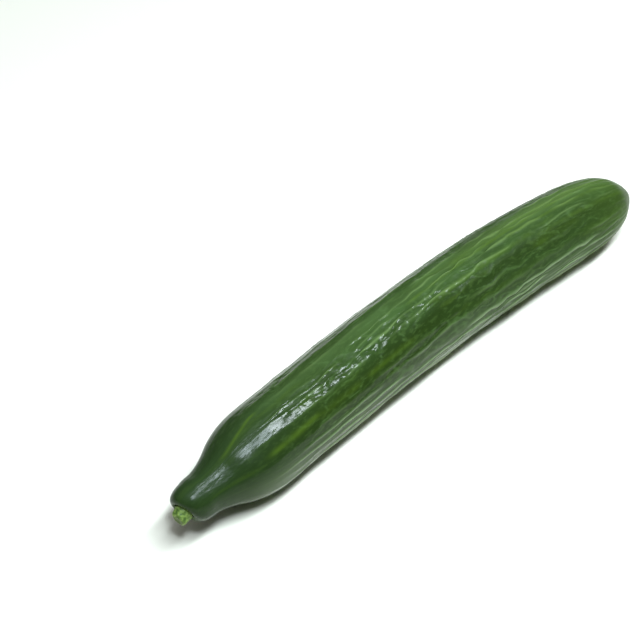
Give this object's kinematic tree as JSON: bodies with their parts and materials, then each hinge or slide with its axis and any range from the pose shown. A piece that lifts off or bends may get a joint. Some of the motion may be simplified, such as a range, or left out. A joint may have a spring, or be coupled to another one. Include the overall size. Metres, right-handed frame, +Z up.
{
  "type": "cucumber",
  "caption": "Whole long seedless greenhouse cucumber lying on its side: a gently bowed, finely ribbed green body with a narrow neck, a rounded blossom end and a short stub of cut stem.",
  "frame": {"origin": "on the surface the cucumber lies on, under the middle of its bounding box", "axes": "+X from the cut stem towards the blossom end, +Y to the outer side of its sideways bow, +Z up"},
  "size_m": [0.3356, 0.0528, 0.0454],
  "materials": {
    "skin": "waxy and glossy, dark green with paler streaks along the ribs",
    "stem": "matte, fibrous, yellow-green"
  },
  "bodies": {
    "root": {"fruit": "skin", "stem_stub": "stem"}
  },
  "joints": []
}
